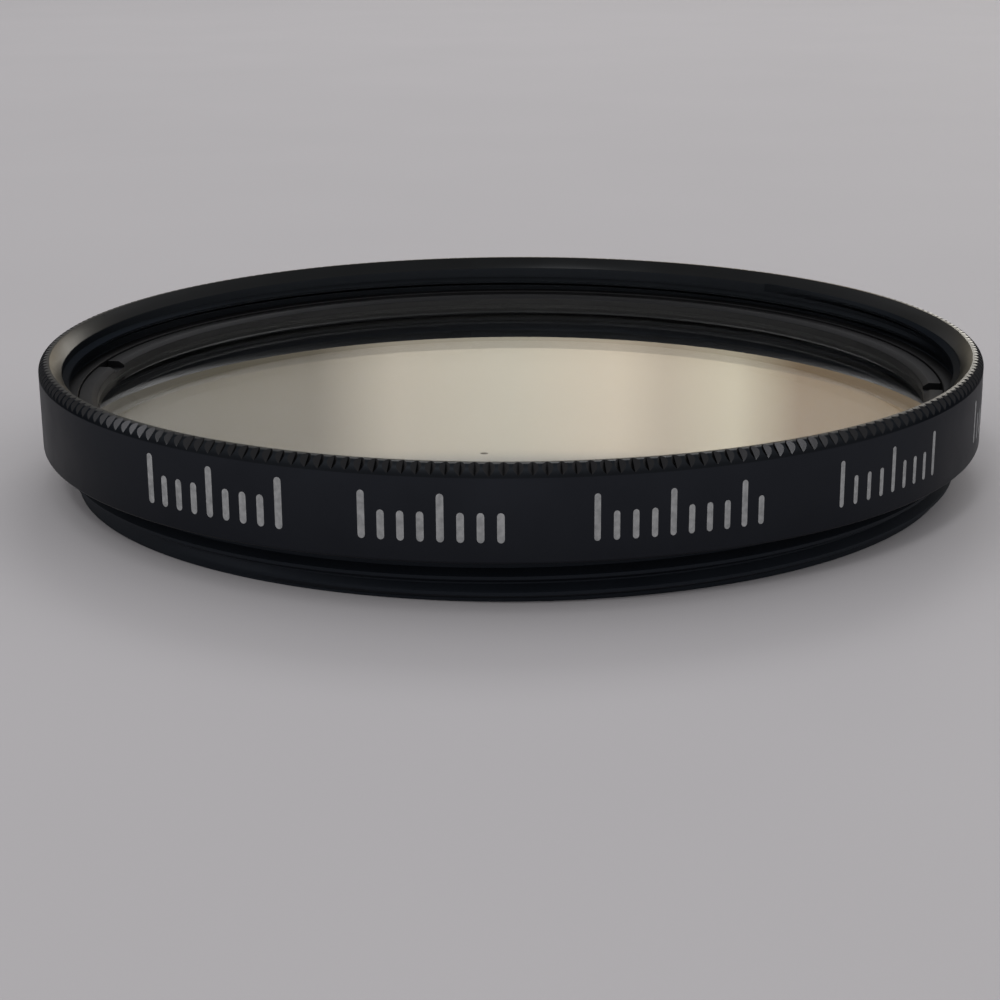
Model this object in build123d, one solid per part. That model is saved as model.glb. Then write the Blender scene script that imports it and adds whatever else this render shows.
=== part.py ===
from build123d import *
import math
import os

# UV filter for a camera lens: a black ring with a filter thread on both sides, a coated glass disc
# and the retaining ring that holds the glass. Millimetres. The optical axis is Z, the front is up,
# and the end face of the rear thread lies at height zero.

# Filter thread, the same metric thread at the front and at the rear
thread_diameter = 48.0
thread_pitch = 0.75
thread_clearance = 0.05        # radial, between this ring's front thread and a part screwed into it
rear_thread_length = 2.3       # from the end face to the shoulder of the body
thread_end_chamfer = 0.4
relief_length = 0.5            # plain groove between the rear thread and the shoulder
front_thread_length = 1.4

# Outer wall and front rim
front_chamfer = 0.6            # lead-in of the front thread, at 45 degrees
rim_land = 0.18                # flat top of the rim
notch_bevel = 0.42             # outer bevel of the rim, at 45 degrees, which carries the notches
shoulder_chamfer = 0.12

# Notches across the outer bevel
notch_pitch = 0.628            # along the middle of the bevel
notch_depth = 0.1
notch_angle = 120.0

# Glass and its seat
seat_drop = 0.2                # the seat lies this far behind the shoulder
seat_width = 0.65              # how far the glass reaches over its seat
glass_thickness = 2.0
glass_bevel = 0.15
glass_clearance = 0.1          # radial, between the glass and its pocket
rear_bore_chamfer = 0.3

# Retaining ring and its bore
retainer_thickness = 0.6
retainer_width = 0.95          # radial width of the ring
retainer_clearance = 0.05      # radial, in its threaded bore
retainer_recess = 0.1          # the ring lies this far below the floor of the front thread
retainer_bevel_width = 0.3
retainer_bevel_height = 0.2
ledge_width = 0.75             # floor of the front thread, from the thread to the retaining ring's bore
pocket_step = 0.3              # from the retaining ring's bore in to the pocket of the glass
pocket_drop = 0.15             # the retaining ring's bore ends this far below the glass's front face

# Spanner slots of the retaining ring, a pair across a diameter
slot_width = 1.5
slot_depth = 0.35
slot_azimuth = 172.0

# Radii, worked out from the thread inwards and outwards
rear_thread_radius = thread_diameter / 2
front_thread_radius = rear_thread_radius + thread_clearance
relief_radius = rear_thread_radius - 0.75 * thread_pitch
body_radius = front_thread_radius + front_chamfer + rim_land + notch_bevel
retainer_bore_radius = front_thread_radius - ledge_width
retainer_radius = retainer_bore_radius - retainer_clearance
retainer_inner_radius = retainer_radius - retainer_width
pocket_radius = retainer_bore_radius - pocket_step
glass_radius = pocket_radius - glass_clearance
rear_bore_radius = glass_radius - seat_width

# Heights, stacked from the rear end face
shoulder_height = rear_thread_length
seat_height = shoulder_height - seat_drop
glass_top = seat_height + glass_thickness
retainer_top = glass_top + retainer_thickness
ledge_height = retainer_top + retainer_recess
rim_height = ledge_height + front_thread_length + front_chamfer


def turned(points):
    """A body of revolution about Z, from a closed outline of (radius, height) points."""
    outline = Plane.XZ * Polyline(*points, close=True)
    return revolve(make_face(outline), Axis.Z)


def ring_blank():
    """The filter ring as it leaves the lathe, before its front bevel is notched."""
    return turned([
        (rear_bore_radius + rear_bore_chamfer, 0),
        (rear_thread_radius - thread_end_chamfer, 0),
        (rear_thread_radius, thread_end_chamfer),
        (rear_thread_radius, shoulder_height - relief_length),
        (relief_radius, shoulder_height - relief_length),
        (relief_radius, shoulder_height),
        (body_radius - shoulder_chamfer, shoulder_height),
        (body_radius, shoulder_height + shoulder_chamfer),
        (body_radius, rim_height - notch_bevel),
        (body_radius - notch_bevel, rim_height),
        (body_radius - notch_bevel - rim_land, rim_height),
        (front_thread_radius, rim_height - front_chamfer),
        (front_thread_radius, ledge_height),
        (retainer_bore_radius, ledge_height),
        (retainer_bore_radius, glass_top - pocket_drop),
        (pocket_radius, glass_top - pocket_drop),
        (pocket_radius, seat_height),
        (rear_bore_radius, seat_height),
        (rear_bore_radius, rear_bore_chamfer),
    ])


def notch_cutter():
    """One V groove down the outer bevel, at azimuth zero and open at both ends.

    The line of its root passes through the tip of the bevel's cone, so that both sides of the groove
    meet the bevel in straight lines.
    """
    cone_tip = Vector(0, 0, rim_height - notch_bevel + body_radius)
    inset = notch_bevel / 2 + notch_depth / math.sqrt(2)
    root = Vector(body_radius - inset, 0, rim_height - inset)
    across_root = Plane(origin=root, x_dir=(0, 1, 0), z_dir=root - cone_tip)
    height = 2 * notch_depth
    half_width = height * math.tan(math.radians(notch_angle / 2))
    groove = make_face(Polyline((0, 0), (half_width, height), (-half_width, height), close=True))
    reach = notch_bevel / math.sqrt(2) + 2 * notch_depth
    return extrude(across_root * groove, reach, both=True)


def filter_ring():
    """The turned ring with its bevel notched all round."""
    notch_count = round(2 * math.pi * (body_radius - notch_bevel / 2) / notch_pitch)
    cutter = notch_cutter()
    notches = [place * cutter for place in PolarLocations(0, notch_count)]
    return ring_blank() - notches


def filter_glass():
    """The flat glass disc, with both edges broken."""
    disc = Cylinder(glass_radius, glass_thickness, align=(Align.CENTER, Align.CENTER, Align.MIN))
    disc = chamfer(disc.edges().filter_by(GeomType.CIRCLE), glass_bevel)
    return Pos(0, 0, seat_height) * disc


def retaining_ring():
    """The thin ring that clamps the glass, bevelled inside, with two spanner slots in its front face."""
    ring = turned([
        (retainer_inner_radius, glass_top),
        (retainer_radius, glass_top),
        (retainer_radius, retainer_top),
        (retainer_inner_radius + retainer_bevel_width, retainer_top),
        (retainer_inner_radius, retainer_top - retainer_bevel_height),
    ])
    slot = Pos(0, 0, retainer_top) * Box(2 * body_radius, slot_width, 2 * slot_depth)
    return ring - Rot(0, 0, slot_azimuth) * slot


def write(node, shape):
    export_step(shape, f"parts/{node}.step")


os.makedirs("parts", exist_ok=True)
write("filter_ring", filter_ring())
write("filter_glass", filter_glass())
write("retaining_ring", retaining_ring())
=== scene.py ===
import math
import random

import bpy
from mathutils import Matrix, Vector


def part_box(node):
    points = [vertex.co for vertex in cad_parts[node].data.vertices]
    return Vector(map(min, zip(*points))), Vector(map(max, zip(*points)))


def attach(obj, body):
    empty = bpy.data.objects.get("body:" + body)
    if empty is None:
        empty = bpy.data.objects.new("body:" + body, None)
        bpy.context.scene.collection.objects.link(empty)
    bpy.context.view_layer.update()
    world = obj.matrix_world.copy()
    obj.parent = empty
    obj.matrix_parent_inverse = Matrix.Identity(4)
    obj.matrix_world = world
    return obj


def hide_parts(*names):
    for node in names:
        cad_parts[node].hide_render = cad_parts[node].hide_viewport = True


# The looks of a UV filter lying on a pale table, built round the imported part. Sizes are in millimetres,
# with the rear thread's end face at height zero, and become metres where a mesh is made.
MM = 0.001

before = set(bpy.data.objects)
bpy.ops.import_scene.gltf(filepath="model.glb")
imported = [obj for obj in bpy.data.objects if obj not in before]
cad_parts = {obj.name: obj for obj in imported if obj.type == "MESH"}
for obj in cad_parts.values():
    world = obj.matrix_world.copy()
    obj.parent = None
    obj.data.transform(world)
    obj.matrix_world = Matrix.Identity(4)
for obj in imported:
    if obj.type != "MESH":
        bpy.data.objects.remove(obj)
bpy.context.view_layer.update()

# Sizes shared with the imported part
_, ring_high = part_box("filter_ring")
glass_low, glass_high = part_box("filter_glass")
_, clamp_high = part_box("retaining_ring")
BODY_RADIUS = ring_high.x / MM
RIM_HEIGHT = ring_high.z / MM
GLASS_RADIUS = glass_high.x / MM
GLASS_BOTTOM = glass_low.z / MM
GLASS_TOP = glass_high.z / MM
CLAMP_RADIUS = clamp_high.x / MM
CLAMP_TOP = clamp_high.z / MM

# The part's other sizes
SHOULDER_HEIGHT = 2.3
SHOULDER_CHAMFER = 0.12
RELIEF_TOP = 1.8
RELIEF_RADIUS = 23.44
REAR_BORE = 22.25
REAR_BORE_CHAMFER = 0.3
REAR_BORE_SPLIT = (1.0, 1.3)    # heights on the bore's wall where the ring's section starts and ends
POCKET_RADIUS = 23.0
CLAMP_BORE = 23.3
CLAMP_BORE_LOW = GLASS_TOP - 0.15
LEDGE_HEIGHT = CLAMP_TOP + 0.1
CHAMFER_LOW = LEDGE_HEIGHT + 1.4
CLAMP_INNER = CLAMP_RADIUS - 0.95
CLAMP_BEVEL = (0.3, 0.2)
CLAMP_EDGE = 0.02
CLAMP_LOWEST = GLASS_TOP + 0.1  # height at which the inner wall's upper part ends
CLAMP_STEPS = 480
GLASS_BEVEL = 0.15
GLASS_STEPS = 512
EDGE = 0.03                     # broken edge on every turned corner of the filter ring
PAINT_THICKNESS = 0.012         # the wall lies this far inside the marks' faces
WALL_RADIUS = BODY_RADIUS - PAINT_THICKNESS
SEAT_GAP = 0.006                # between the glass and the metal above and below it

# Metric filter thread, right-handed
PITCH = 0.75
REAR_CREST, REAR_ROOT = 24.0, 23.54
FRONT_CREST, FRONT_ROOT = 23.72, 24.05
CREST_FLAT = PITCH / 5
FLANK_ANGLE = math.radians(30)
TURN_STEPS = 200
FADE_STEPS = TURN_STEPS // 8
RIDGE_SUNK = 0.03               # the ridge's foot lies this far inside its wall
FRONT_RIDGE = (LEDGE_HEIGHT + 0.35, CHAMFER_LOW - 0.2)
REAR_RIDGE = (0.42, RELIEF_TOP - 0.33)
FRONT_THREAD_END = math.radians(48)
REAR_THREAD_END = math.radians(10)

# Notches round the rim, whose roots run straight from the wall up to the land
NOTCH_COUNT = 250
NOTCH_PITCH_ANGLE = 2 * math.pi / NOTCH_COUNT
NOTCH_UNEVENNESS = 0.008        # spread of the notches' depths
RIM_ROUND = 0.47                # radius of the rim's outer edge
CORNER_RADIUS = WALL_RADIUS - RIM_ROUND
CORNER_HEIGHT = RIM_HEIGHT - RIM_ROUND
NOTCH_LOW = 6.305               # height at which a root leaves the wall
NOTCH_INNER = 24.72             # radius at which a root reaches the land
NOTCH_HALF_ANGLE = math.radians(56)
# Least and greatest half width between a notch's columns, as shares of the pitch
NARROWEST, WIDEST = 0.012, 0.46
CORNER_STEPS = 18
CORNER_START, CORNER_END = math.radians(-14), math.radians(104)
WALL_TOP = 5.9                  # height at which the wall's part of the section gives way to the corner's
LAND_INNER = 24.65
LAND_START = LAND_INNER + 0.008
# Columns of points round one notch, below and above the corner, as shares of the pitch
COLUMN_SHARES = (-0.5, -0.3, -0.1, 0.0, 0.1, 0.3)
ROOT_COLUMN = 3
# The ring's materials, in the order of its slots
WALL, CUT, THREAD, CHAMFER, MATT, REAR = range(6)

# Spanner slots
SLOT_AZIMUTH = math.radians(172)
SLOT_HALF_WIDTH = 0.75
SLOT_DEPTH = 0.35
SLOT_WALL = 0.002               # run of a slot's side wall
SLOT_CLEAR = math.radians(2.4)  # no plain column stands this near the middle of a slot

# Painted marks: name, first and last azimuth in degrees, height of the long bars' tops, stroke, bars
SCALE_MARKS = (
    ("scale_marks_a", 229, 246, 5.7, 0.36, 9),
    ("scale_marks_b", 255, 269, 5.5, 0.33, 8),
    ("scale_marks_c", 278.5, 296, 5.45, 0.28, 10),
    ("scale_marks_d", 306.5, 323, 5.5, 0.25, 9),
    ("scale_marks_e", 338, 355, 5.5, 0.25, 9),
)
MARK_LOW = 3.3
SHORT_BAR = 0.62                # height of a short bar, as a share of a long one's
BAR_END_STEPS = 6
# Radii of a bar's foot, edge and face, and by how much its half width is less there
BAR_LAYERS = ((WALL_RADIUS - 0.02, 0.0), (BODY_RADIUS - 0.003, 0.0), (BODY_RADIUS, 0.01))

# Dust on the glass: place, half length and half width, and its layers by height and share of that size
DUST_PLACE = (-1.30, -13.77)
DUST_REACH = (0.19, 0.09)
DUST_LAYERS = ((0.0, 1.0), (0.03, 0.8), (0.05, 0.35))
DUST_STEPS = 12

# Camera, found from the ring's outlines in the photograph
CAMERA_PLACE = (0.0, -107.46, 30.49)
CAMERA_DIP = math.radians(17.06)
CAMERA_YAW = math.radians(-0.33)
CAMERA_ROLL = math.radians(-0.40)
CAMERA_LENS = 72.25

TABLE_REACH = 1500.0
# Lamps: name, place, size, power in watts
LAMPS = (
    ("window", (30, 480, 430), (260, 180), 0.65),
    ("front_lamp", (-110, -285, 380), (75, 75), 0.3),
)

# Brightness of the room, from the horizon up to overhead
ROOM_RISE = (
    (0.0, (0.76, 0.755, 0.76)),
    (0.5, (0.86, 0.85, 0.86)),
    (1.0, (0.72, 0.725, 0.73)),
)
# Brightness low down behind the filter, by sideways over forward distance
PATCHES_BEHIND = (
    (-0.45, (0.40, 0.40, 0.40)),
    (-0.26, (0.36, 0.35, 0.34)),
    (-0.20, (0.28, 0.26, 0.22)),
    (-0.15, (0.28, 0.25, 0.19)),
    (-0.10, (0.33, 0.29, 0.22)),
    (-0.06, (0.82, 0.73, 0.58)),
    (0.0, (0.95, 0.87, 0.69)),
    (0.055, (1.14, 0.98, 0.75)),
    (0.08, (0.90, 0.76, 0.57)),
    (0.115, (1.10, 0.98, 0.73)),
    (0.148, (0.52, 0.38, 0.24)),
    (0.21, (0.52, 0.40, 0.27)),
    (0.22, (1.2, 1.1, 0.95)),
    (0.235, (4.6, 4.4, 4.0)),
    (0.34, (4.6, 4.4, 4.0)),
    (0.42, (0.6, 0.58, 0.55)),
)
PATCH_TOP = (0.268, 0.279)      # sine of the elevation where the patches end
DARK_ABOVE = (0.32, 0.31, 0.30) # brightness above the patches
DARK_TOP = (0.36, 0.55)         # sine of the elevation where that zone fades into the room
BEHIND = (0.45, 0.75)           # forward part of a direction at which the zones behind fade in
RATIO_SPAN = 0.5                # the patches lie within this ratio on either side

# Turning marks and uneven shade of the black metal
TURNING_SCALE = 9000.0
TURNING_DEPTH = 0.000004        # metres
UNEVEN_SHADE = 1.35

random.seed(11)


# Meshes

def add_object(name, points, faces, smooth_below=40):
    """A mesh object from millimetre points, smooth but for edges sharper than the angle in degrees."""
    mesh = bpy.data.meshes.new(name)
    mesh.from_pydata([tuple(c * MM for c in p) for p in points], [], faces)
    mesh.validate()
    mesh.shade_smooth()
    mesh.set_sharp_from_angle(angle=math.radians(smooth_below))
    obj = bpy.data.objects.new(name, mesh)
    bpy.context.scene.collection.objects.link(obj)
    return obj


def closed_band(name, columns, smooth_below=40, finish=None):
    """A closed surface through columns of points, where the columns and the points in each run round.

    The finish function gives the material index of the face after a column and a row.
    """
    count, high = len(columns), len(columns[0])
    points = [p for column in columns for p in column]
    faces = []
    indices = []
    for i in range(count):
        a, b = i * high, (i + 1) % count * high
        for j in range(high):
            k = (j + 1) % high
            faces.append((a + j, b + j, b + k, a + k))
            indices.append(finish(i, j) if finish else 0)
    obj = add_object(name, points, faces, smooth_below)
    obj.data.polygons.foreach_set("material_index", indices)
    return obj


def polar(radius, azimuth, height):
    """A point by its distance from the axis, its azimuth and its height."""
    return (radius * math.cos(azimuth), radius * math.sin(azimuth), height)


def broken(points, size=EDGE):
    """An open outline with each inner corner replaced by a short flat."""
    result = [points[0]]
    for before, here, after in zip(points, points[1:], points[2:]):
        for other in (before, after):
            run = math.dist(here, other)
            share = min(size / run, 0.4)
            result.append(tuple(h + (o - h) * share for h, o in zip(here, other)))
    result.append(points[-1])
    return result


# The filter ring

def corner_reach(angle):
    """Distance of the unnotched outer edge from the centre of its rounding, at an angle about it."""
    if angle < 0:
        return RIM_ROUND / math.cos(angle)
    if angle > math.pi / 2:
        return RIM_ROUND / math.sin(angle)
    return RIM_ROUND


def notch_root(deeper):
    """The root of a notch: the slope of its normal, and its distance from the centre of the rounding."""
    run, rise = WALL_RADIUS - NOTCH_INNER, RIM_HEIGHT - NOTCH_LOW
    slope = math.atan2(run, rise)
    distance = (NOTCH_INNER - CORNER_RADIUS) * math.cos(slope) + RIM_ROUND * math.sin(slope)
    return slope, distance - deeper


def half_width(angle, slope, distance):
    """Half the width of a notch at an angle round the unnotched edge, below zero past the notch's tips."""
    return (corner_reach(angle) * math.cos(angle - slope) - distance) * math.tan(NOTCH_HALF_ANGLE)


def notch_tips(slope, distance):
    """The angles at which a notch begins on the wall and ends on the land, by halving."""
    tips = []
    for outside, inside in ((math.radians(-30), slope), (math.radians(120), slope)):
        for _ in range(30):
            middle = (outside + inside) / 2
            if half_width(middle, slope, distance) > 0:
                inside = middle
            else:
                outside = middle
        tips.append(inside)
    return tips


def rim_columns():
    """The points over the rim's corner for each column round the ring, bent to follow the notches' edges."""
    pitch_length = (WALL_RADIUS - RIM_ROUND / 2) * NOTCH_PITCH_ANGLE
    columns = []
    for notch in range(NOTCH_COUNT):
        slope, distance = notch_root(random.gauss(0, NOTCH_UNEVENNESS))
        low, high = notch_tips(slope, distance)
        angles = [CORNER_START, (CORNER_START + low) / 2]
        angles += [low + (high - low) * k / CORNER_STEPS for k in range(CORNER_STEPS + 1)]
        angles += [(CORNER_END + high) / 2, CORNER_END]
        for column in range(len(COLUMN_SHARES)):
            points = []
            for angle in angles:
                width = half_width(angle, slope, distance) / pitch_length
                width = min(max(width, NARROWEST), WIDEST)
                share = (-0.5, -0.25 - width / 2, -width, 0.0, width, 0.25 + width / 2)[column]
                azimuth = (notch + share) * NOTCH_PITCH_ANGLE
                reach = corner_reach(angle)
                if column == ROOT_COLUMN:
                    reach = min(reach, distance / math.cos(angle - slope))
                radius = CORNER_RADIUS + reach * math.cos(angle)
                points.append(polar(radius, azimuth, CORNER_HEIGHT + reach * math.sin(angle)))
            columns.append(points)
    return columns


def ring_body():
    """The ring's closed section, carried round through every notch."""
    below = broken([
        (REAR_BORE, REAR_BORE_SPLIT[0]),
        (REAR_BORE, REAR_BORE_CHAMFER),
        (REAR_BORE + REAR_BORE_CHAMFER, 0.0),
        (REAR_ROOT, 0.0),
        (REAR_ROOT, RELIEF_TOP),
        (RELIEF_RADIUS, RELIEF_TOP),
        (RELIEF_RADIUS, SHOULDER_HEIGHT),
        (WALL_RADIUS - SHOULDER_CHAMFER, SHOULDER_HEIGHT),
        (WALL_RADIUS, SHOULDER_HEIGHT + SHOULDER_CHAMFER),
        (WALL_RADIUS, WALL_TOP),
    ])
    above = broken([
        (LAND_START, RIM_HEIGHT),
        (LAND_INNER, RIM_HEIGHT),
        (FRONT_ROOT, CHAMFER_LOW),
        (FRONT_ROOT, LEDGE_HEIGHT),
        (CLAMP_BORE, LEDGE_HEIGHT),
        (CLAMP_BORE, CLAMP_BORE_LOW),
        (POCKET_RADIUS, CLAMP_BORE_LOW),
        (POCKET_RADIUS, GLASS_BOTTOM - SEAT_GAP),
        (REAR_BORE, GLASS_BOTTOM - SEAT_GAP),
        (REAR_BORE, REAR_BORE_SPLIT[1]),
    ])
    columns = []
    for index, corner in enumerate(rim_columns()):
        notch, column = divmod(index, len(COLUMN_SHARES))
        azimuth = 2 * math.pi * (notch + COLUMN_SHARES[column]) / NOTCH_COUNT
        lower = [polar(r, azimuth, z) for r, z in below]
        upper = [polar(r, azimuth, z) for r, z in above]
        columns.append(lower + corner + upper)

    # Rows of faces, by the point in the section at which each begins
    corner_start = len(below)
    shoulder_end = corner_start - 5
    facets = range(corner_start + 2, corner_start + 2 + CORNER_STEPS)
    land = facets[-5]
    top_start = facets[-1] + 4
    thread_wall = top_start + 4
    ledge = top_start + 6

    def finish(column, row):
        if column % len(COLUMN_SHARES) in (ROOT_COLUMN - 1, ROOT_COLUMN) and row in facets:
            return CUT
        if row < shoulder_end:
            return REAR
        if row < corner_start:
            return WALL
        if row < land:
            return THREAD
        if row < thread_wall:
            return CHAMFER
        return THREAD if row < ledge else MATT

    return closed_band("ring_body", columns, 24, finish)


def thread_ridge(name, root, crest, low, high, end):
    """A helical ridge from a low height to a high one, reached at the azimuth named end.

    It fades in and out over its first and last steps.
    """
    steps = round((high - low) / PITCH * TURN_STEPS)
    outward = 1 if crest > root else -1
    foot = root - outward * RIDGE_SUNK
    half_base = CREST_FLAT / 2 + abs(crest - root) * math.tan(FLANK_ANGLE)
    section = (
        (foot, -half_base),
        (root, -half_base),
        (crest, -CREST_FLAT / 2),
        (crest, CREST_FLAT / 2),
        (root, half_base),
        (foot, half_base),
    )
    rings = []
    for i in range(steps + 1):
        turned = end + 2 * math.pi * (i - steps) / TURN_STEPS
        middle = low + PITCH * i / TURN_STEPS
        full = min(1.0, i / FADE_STEPS, (steps - i) / FADE_STEPS)
        ring = []
        for r, dz in section:
            height = (r - root) * outward
            radius = root + outward * height * (full if height > 0 else 1.0)
            ring.append(polar(radius, turned, middle + dz))
        rings.append(ring)
    points = [p for ring in rings for p in ring]
    size = len(section)
    faces = []
    for i in range(steps):
        for j in range(size):
            k = (j + 1) % size
            quad = (i * size + j, (i + 1) * size + j, (i + 1) * size + k, i * size + k)
            faces.append(quad if outward > 0 else quad[::-1])
    ends = [tuple(range(size)), tuple(range(steps * size, (steps + 1) * size))[::-1]]
    faces += ends if outward > 0 else [e[::-1] for e in ends]
    return add_object(name, points, faces, 30)


# The glass and the ring that clamps it

def glass_disc():
    """The flat glass with both edges bevelled, its polished faces first and its ground edge second."""
    steps = GLASS_STEPS
    outline = [
        (GLASS_RADIUS - GLASS_BEVEL, GLASS_BOTTOM),
        (GLASS_RADIUS, GLASS_BOTTOM + GLASS_BEVEL),
        (GLASS_RADIUS, GLASS_TOP - GLASS_BEVEL),
        (GLASS_RADIUS - GLASS_BEVEL, GLASS_TOP),
    ]
    points = []
    for r, z in outline:
        points += [polar(r, 2 * math.pi * i / steps, z) for i in range(steps)]
    faces = [tuple(range(steps))[::-1], tuple(range(3 * steps, 4 * steps))]
    for level in range(3):
        a, b = level * steps, (level + 1) * steps
        faces += [(a + i, a + (i + 1) % steps, b + (i + 1) % steps, b + i) for i in range(steps)]
    disc = add_object("glass_disc", points, faces, 30)
    disc.data.polygons.foreach_set("material_index", [0, 0] + [1] * (3 * steps))
    return disc


def clamp_azimuths():
    """The clamp ring's columns: an azimuth, an offset to its side, and whether a slot is cut there."""
    places = []
    slots = (SLOT_AZIMUTH, SLOT_AZIMUTH + math.pi)
    for i in range(CLAMP_STEPS):
        azimuth = 2 * math.pi * i / CLAMP_STEPS
        if all(abs(math.remainder(azimuth - slot, 2 * math.pi)) > SLOT_CLEAR for slot in slots):
            places.append((azimuth, 0.0, False))
    outer = SLOT_HALF_WIDTH + SLOT_WALL
    for slot in slots:
        centre = slot % (2 * math.pi)
        for side, cut in ((-outer, False), (-SLOT_HALF_WIDTH, True), (0.0, True),
                          (SLOT_HALF_WIDTH, True), (outer, False)):
            places.append((centre, side, cut))
    return sorted(places, key=lambda place: place[0] + math.asin(place[1] / CLAMP_INNER))


def clamp_ring():
    """The retaining ring, bevelled inside, with a slot across it at two places."""
    bevel_width, bevel_height = CLAMP_BEVEL
    outline = [
        (CLAMP_INNER, GLASS_TOP + SEAT_GAP),
        (CLAMP_RADIUS, GLASS_TOP + SEAT_GAP),
        (CLAMP_RADIUS, CLAMP_TOP),
        (CLAMP_INNER + bevel_width, CLAMP_TOP),
        (CLAMP_INNER, CLAMP_TOP - bevel_height),
        (CLAMP_INNER, CLAMP_LOWEST),
    ]
    section = broken(outline, CLAMP_EDGE)
    inner_wall = len(section) - 2
    columns = []
    for azimuth, side, cut in clamp_azimuths():
        column = []
        for r, z in section:
            top = CLAMP_TOP - SLOT_DEPTH if cut else CLAMP_TOP
            column.append(polar(r, azimuth + math.asin(side / r), min(z, top)))
        columns.append(column)
    # The inner wall takes the second material, a paler black whose colour is painted light for the brighter
    # band along that wall
    return closed_band("clamp_ring", columns, 24, lambda column, row: 1 if row >= inner_wall else 0)


# Painted marks on the wall, plain bars of a scale

def wall_bar(points, faces, azimuth, half, low, high):
    """Adds one thin painted bar with round ends, standing on the wall. Its stroke is twice the half."""
    outline = []
    for k in range(BAR_END_STEPS + 1):
        turn = math.pi * k / BAR_END_STEPS
        outline.append((half * math.cos(turn), high - half + half * math.sin(turn)))
    outline += [(-x, low + high - z) for x, z in outline]
    start = len(points)
    size = len(outline)
    for radius, narrower in BAR_LAYERS:
        shrink = 1 - narrower / half
        points += [polar(radius, azimuth + x * shrink / BODY_RADIUS, z) for x, z in outline]
    faces.append(tuple(range(start + size - 1, start - 1, -1)))
    faces.append(tuple(range(start + 2 * size, start + 3 * size)))
    for level in (start, start + size):
        for i in range(size):
            j = (i + 1) % size
            faces.append((level + i, level + j, level + size + j, level + size + i))


def painted_scale(name, first, last, high, stroke, bars):
    """A row of evenly spaced bars between two azimuths in degrees, every fourth one long."""
    points, faces = [], []
    for k in range(bars):
        azimuth = math.radians(first + (last - first) * k / (bars - 1))
        top = high if k % 4 == 0 else MARK_LOW + (high - MARK_LOW) * SHORT_BAR
        wall_bar(points, faces, azimuth, stroke / 2, MARK_LOW, top)
    return add_object(name, points, faces, 30)


def dust_speck():
    """A flake of dust on the glass, where the photograph shows one."""
    (x, y), (half_length, half_depth) = DUST_PLACE, DUST_REACH
    points = []
    for height, size in DUST_LAYERS:
        for k in range(DUST_STEPS):
            turn = 2 * math.pi * k / DUST_STEPS
            ragged = size * (1 + 0.18 * math.sin(3 * turn + 1) + 0.1 * math.sin(5 * turn))
            along, across = half_length * math.cos(turn), half_depth * math.sin(turn)
            points.append((x + ragged * along, y + ragged * across, GLASS_TOP + height))
    top = len(points) - DUST_STEPS
    faces = [tuple(range(DUST_STEPS))[::-1], tuple(range(top, len(points)))]
    for a in range(0, top, DUST_STEPS):
        for i in range(DUST_STEPS):
            j = (i + 1) % DUST_STEPS
            faces.append((a + i, a + j, a + DUST_STEPS + j, a + DUST_STEPS + i))
    return add_object("dust_speck", points, faces, 50)


# Materials

def new_material(name):
    """A new material with its nodes, links and shader."""
    material = bpy.data.materials.new(name)
    material.use_nodes = True
    nodes = material.node_tree.nodes
    shader = nodes["Principled BSDF"]
    return material, nodes, material.node_tree.links, shader


def noise(nodes, links, scale, detail):
    """A noise over the object's own coordinates."""
    where = nodes.new("ShaderNodeTexCoord")
    node = nodes.new("ShaderNodeTexNoise")
    node.inputs["Scale"].default_value = scale
    node.inputs["Detail"].default_value = detail
    links.new(where.outputs["Object"], node.inputs["Vector"])
    return node.outputs["Fac"]


def ramp(nodes, stops):
    """A colour ramp from (position, colour) stops."""
    node = nodes.new("ShaderNodeValToRGB")
    elements = node.color_ramp.elements
    while len(elements) < len(stops):
        elements.new(0.5)
    for element, (position, colour) in zip(elements, stops):
        element.position = position
        element.color = (*colour, 1)
    return node


def ranged(nodes, links, source, low, high):
    """The source as a smooth share from 0 at low to 1 at high."""
    node = nodes.new("ShaderNodeMapRange")
    node.interpolation_type = "SMOOTHSTEP"
    node.inputs["From Min"].default_value = low
    node.inputs["From Max"].default_value = high
    links.new(source, node.inputs["Value"])
    return node.outputs["Result"]


def product(nodes, links, first, second):
    """The product of two shares."""
    node = nodes.new("ShaderNodeMath")
    node.operation = "MULTIPLY"
    links.new(first, node.inputs[0])
    links.new(second, node.inputs[1])
    return node.outputs[0]


def mixed(nodes, links, share, below, above):
    """The colour below turned into the colour above by a share."""
    node = nodes.new("ShaderNodeMix")
    node.data_type = "RGBA"
    links.new(share, node.inputs["Factor"])
    for name, colour in (("A", below), ("B", above)):
        if isinstance(colour, tuple):
            node.inputs[name].default_value = (*colour, 1)
        else:
            links.new(colour, node.inputs[name])
    return node.outputs["Result"]


def turned_coordinates(nodes, links):
    """A texture vector of radius and height, so that a noise on it runs round the axis as turning marks."""
    where = nodes.new("ShaderNodeTexCoord")
    split = nodes.new("ShaderNodeSeparateXYZ")
    flat = nodes.new("ShaderNodeCombineXYZ")
    length = nodes.new("ShaderNodeVectorMath")
    length.operation = "LENGTH"
    joined = nodes.new("ShaderNodeCombineXYZ")
    scaled = nodes.new("ShaderNodeVectorMath")
    scaled.operation = "MULTIPLY"
    scaled.inputs[1].default_value = (TURNING_SCALE, 1.0, TURNING_SCALE)
    links.new(where.outputs["Object"], split.inputs[0])
    links.new(split.outputs["X"], flat.inputs["X"])
    links.new(split.outputs["Y"], flat.inputs["Y"])
    links.new(flat.outputs[0], length.inputs[0])
    links.new(length.outputs["Value"], joined.inputs["X"])
    links.new(split.outputs["Z"], joined.inputs["Z"])
    links.new(joined.outputs[0], scaled.inputs[0])
    return scaled.outputs[0]


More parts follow.
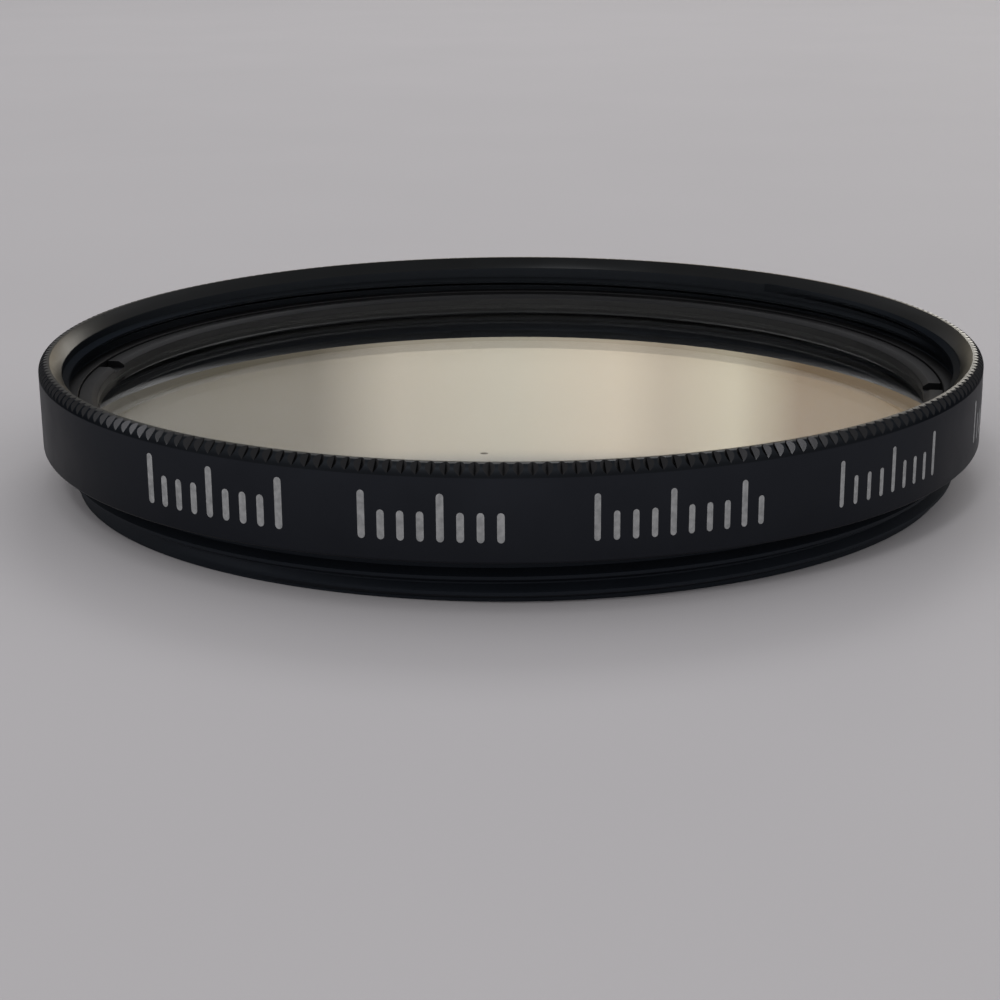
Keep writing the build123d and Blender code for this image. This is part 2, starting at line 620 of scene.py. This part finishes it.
def anodised(name, colour, roughness, mark_strength, tint=0.65, metallic=1.0):
    """Black anodised aluminium with faint turning marks and an uneven sheen."""
    material, nodes, links, shader = new_material(name)
    shader.inputs["Metallic"].default_value = metallic
    shader.inputs["Specular Tint"].default_value = (tint, tint, tint, 1)
    marks = nodes.new("ShaderNodeTexNoise")
    marks.inputs["Scale"].default_value = 1.0
    marks.inputs["Detail"].default_value = 3.0
    links.new(turned_coordinates(nodes, links), marks.inputs["Vector"])
    bump = nodes.new("ShaderNodeBump")
    bump.inputs["Strength"].default_value = mark_strength
    bump.inputs["Distance"].default_value = TURNING_DEPTH
    links.new(marks.outputs["Fac"], bump.inputs["Height"])
    links.new(bump.outputs["Normal"], shader.inputs["Normal"])
    cloud = noise(nodes, links, 260.0, 4.0)
    sheen = nodes.new("ShaderNodeMapRange")
    sheen.inputs["From Min"].default_value = 0.3
    sheen.inputs["From Max"].default_value = 0.7
    sheen.inputs["To Min"].default_value = roughness - 0.04
    sheen.inputs["To Max"].default_value = roughness + 0.05
    links.new(cloud, sheen.inputs["Value"])
    links.new(sheen.outputs["Result"], shader.inputs["Roughness"])
    paler = tuple(c * UNEVEN_SHADE for c in colour)
    links.new(mixed(nodes, links, cloud, colour, paler), shader.inputs["Base Color"])
    return material


def coated_glass():
    """Clear glass, slightly tinted by its coating."""
    material, _, _, shader = new_material("coated_glass")
    shader.inputs["Base Color"].default_value = (0.97, 0.975, 0.95, 1)
    shader.inputs["Transmission Weight"].default_value = 1.0
    shader.inputs["Roughness"].default_value = 0.0
    shader.inputs["IOR"].default_value = 1.5
    return material


def ground_edge():
    """The ground edge of the glass, grey and matt."""
    material, nodes, links, shader = new_material("ground_edge")
    grain = ramp(nodes, ((0.3, (0.03, 0.03, 0.03)), (0.7, (0.06, 0.06, 0.058))))
    links.new(noise(nodes, links, 4000.0, 2.0), grain.inputs["Fac"])
    links.new(grain.outputs["Color"], shader.inputs["Base Color"])
    shader.inputs["Roughness"].default_value = 0.8
    return material


def mark_paint():
    """Pale grey paint, a little patchy."""
    material, nodes, links, shader = new_material("mark_paint")
    grain = ramp(nodes, ((0.3, (0.185, 0.188, 0.192)), (0.65, (0.285, 0.288, 0.292))))
    links.new(noise(nodes, links, 3500.0, 3.0), grain.inputs["Fac"])
    links.new(grain.outputs["Color"], shader.inputs["Base Color"])
    shader.inputs["Roughness"].default_value = 0.6
    return material


def table_top():
    """The pale grey table, faintly uneven."""
    material, nodes, links, shader = new_material("table_top")
    grain = noise(nodes, links, 30.0, 2.0)
    shade = mixed(nodes, links, grain, (0.405, 0.392, 0.404), (0.43, 0.416, 0.428))
    links.new(shade, shader.inputs["Base Color"])
    shader.inputs["Roughness"].default_value = 0.75
    shader.inputs["Specular IOR Level"].default_value = 0.2
    return material


# Stage, light and camera

def table():
    """The table under the filter."""
    corners = [(x * TABLE_REACH, y * TABLE_REACH, 0) for x, y in ((-1, -1), (1, -1), (1, 1), (-1, 1))]
    obj = add_object("table", corners, [(0, 1, 2, 3)])
    obj.data.materials.append(table_top())


def soft_lamp(name, place, size, power):
    """A rectangular lamp that points at the filter."""
    lamp = bpy.data.lights.new(name, "AREA")
    lamp.shape = "RECTANGLE"
    lamp.size, lamp.size_y = (s * MM for s in size)
    lamp.energy = power
    obj = bpy.data.objects.new(name, lamp)
    obj.location = Vector(place) * MM
    obj.rotation_euler = (-Vector(place)).to_track_quat("-Z", "Y").to_euler()
    bpy.context.scene.collection.objects.link(obj)


def surroundings():
    """A plain soft room, with an uneven warm brightness low down behind the filter, seen in its glass."""
    world = bpy.data.worlds.new("room")
    bpy.context.scene.world = world
    world.use_nodes = True
    nodes, links = world.node_tree.nodes, world.node_tree.links
    background = nodes["Background"]
    where = nodes.new("ShaderNodeTexCoord")
    split = nodes.new("ShaderNodeSeparateXYZ")
    links.new(where.outputs["Generated"], split.inputs[0])
    rise = ramp(nodes, ROOM_RISE)
    links.new(split.outputs["Z"], rise.inputs["Fac"])
    sideways = nodes.new("ShaderNodeMath")
    sideways.operation = "DIVIDE"
    links.new(split.outputs["X"], sideways.inputs[0])
    links.new(split.outputs["Y"], sideways.inputs[1])
    spread = nodes.new("ShaderNodeMapRange")
    spread.inputs["From Min"].default_value = -RATIO_SPAN
    spread.inputs["From Max"].default_value = RATIO_SPAN
    links.new(sideways.outputs[0], spread.inputs["Value"])
    stops = [((ratio / RATIO_SPAN + 1) / 2, colour) for ratio, colour in PATCHES_BEHIND]
    patches = ramp(nodes, stops)
    links.new(spread.outputs["Result"], patches.inputs["Fac"])
    behind = ranged(nodes, links, split.outputs["Y"], *BEHIND)
    dark = product(nodes, links, behind, ranged(nodes, links, split.outputs["Z"], *DARK_TOP[::-1]))
    low = product(nodes, links, behind, ranged(nodes, links, split.outputs["Z"], *PATCH_TOP[::-1]))
    room = mixed(nodes, links, dark, rise.outputs["Color"], DARK_ABOVE)
    room = mixed(nodes, links, low, room, patches.outputs["Color"])
    links.new(room, background.inputs["Color"])
    background.inputs["Strength"].default_value = 1.0


def camera():
    """The camera of the photograph."""
    level = math.cos(CAMERA_DIP)
    forward = Vector((math.sin(CAMERA_YAW) * level, math.cos(CAMERA_YAW) * level,
                      -math.sin(CAMERA_DIP)))
    right = forward.cross(Vector((0, 0, 1))).normalized()
    up = right.cross(forward)
    cosine, sine = math.cos(CAMERA_ROLL), math.sin(CAMERA_ROLL)
    right, up = cosine * right + sine * up, cosine * up - sine * right
    data = bpy.data.cameras.new("camera")
    data.lens = CAMERA_LENS
    data.sensor_width = 36.0
    data.clip_start = 0.005
    data.clip_end = 20.0
    obj = bpy.data.objects.new("camera", data)
    turn = Matrix((right, up, -forward)).transposed().to_4x4()
    obj.matrix_world = Matrix.Translation(Vector(CAMERA_PLACE) * MM) @ turn
    bpy.context.scene.collection.objects.link(obj)
    bpy.context.scene.camera = obj


# The object

def dress(obj, material, slot, *nodes):
    """Gives a piece its first material and its body, and hides the nodes that it replaces; the slot is not
    used.
    """
    obj.data.materials.append(material)
    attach(obj, "root")
    if nodes:
        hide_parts(*nodes)
    return obj


dust = anodised("dust", (0.22, 0.20, 0.17), 0.8, 0.3)
satin_black = anodised("satin_black", (0.021, 0.023, 0.028), 0.40, 0.5)
cut_black = anodised("cut_black", (0.0175, 0.0175, 0.0185), 0.25, 0.3)
matt_black = anodised("matt_black", (0.0165, 0.0165, 0.0175), 0.5, 0.5)
chamfer_black = anodised("chamfer_black", (0.012, 0.0125, 0.013), 0.30, 0.4, 0.8)
thread_black = anodised("thread_black", (0.0135, 0.0152, 0.0178), 0.5, 0.5, 0.4)
rear_black = anodised("rear_black", (0.009, 0.0115, 0.016), 0.6, 0.3, 0.4, 0.5)
# A paler copy of the clamp's black for its inner wall: painted light, standing in for the brighter band
# there
bore_black_painted_light = anodised("bore_black_painted_light", (0.040, 0.040, 0.040), 0.5, 0.5)
paint = mark_paint()

ring = dress(ring_body(), satin_black, "black_ring", "filter_ring")
for material in (cut_black, thread_black, chamfer_black, matt_black, rear_black):
    ring.data.materials.append(material)
dress(thread_ridge("front_thread", FRONT_ROOT, FRONT_CREST, *FRONT_RIDGE, FRONT_THREAD_END),
      thread_black, "black_ring")
dress(thread_ridge("rear_thread", REAR_ROOT, REAR_CREST, *REAR_RIDGE, REAR_THREAD_END),
      rear_black, "black_ring")
glass = dress(glass_disc(), coated_glass(), "coated_glass", "filter_glass")
glass.data.materials.append(ground_edge())
clamp = dress(clamp_ring(), matt_black, "black_retainer", "retaining_ring")
clamp.data.materials.append(bore_black_painted_light)
for mark in SCALE_MARKS:
    dress(painted_scale(*mark), paint, "black_ring")
dress(dust_speck(), dust, "black_ring")

table()
surroundings()
for lamp_row in LAMPS:
    soft_lamp(*lamp_row)
camera()
bpy.context.scene.view_settings.view_transform = "Standard"
